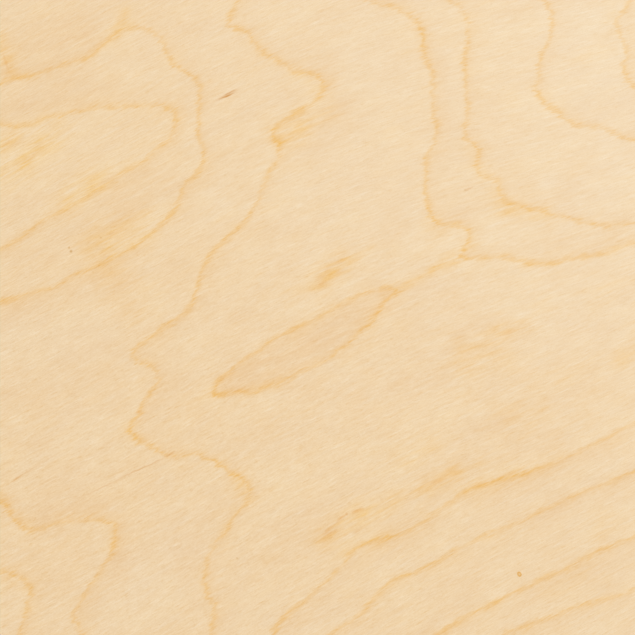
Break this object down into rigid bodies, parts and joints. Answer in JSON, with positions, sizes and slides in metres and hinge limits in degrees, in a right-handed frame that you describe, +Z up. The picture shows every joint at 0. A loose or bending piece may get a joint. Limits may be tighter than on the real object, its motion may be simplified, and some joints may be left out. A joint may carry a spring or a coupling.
{
  "type": "plywood sheet",
  "caption": "Flat rectangular sheet of cross-banded birch plywood with sanded faces and square-sawn edges, for cutting, cladding, shelving or joinery.",
  "frame": {"origin": "centre of the underside", "axes": "+X along the face grain, the long way of the sheet; +Y across the grain; +Z up through the thickness, out of the better face"},
  "size_m": [1.22, 0.61, 0.018],
  "materials": {
    "birch_plywood": "sanded, unfinished"
  },
  "bodies": {
    "root": {"plywood_sheet": "birch_plywood"}
  },
  "joints": []
}
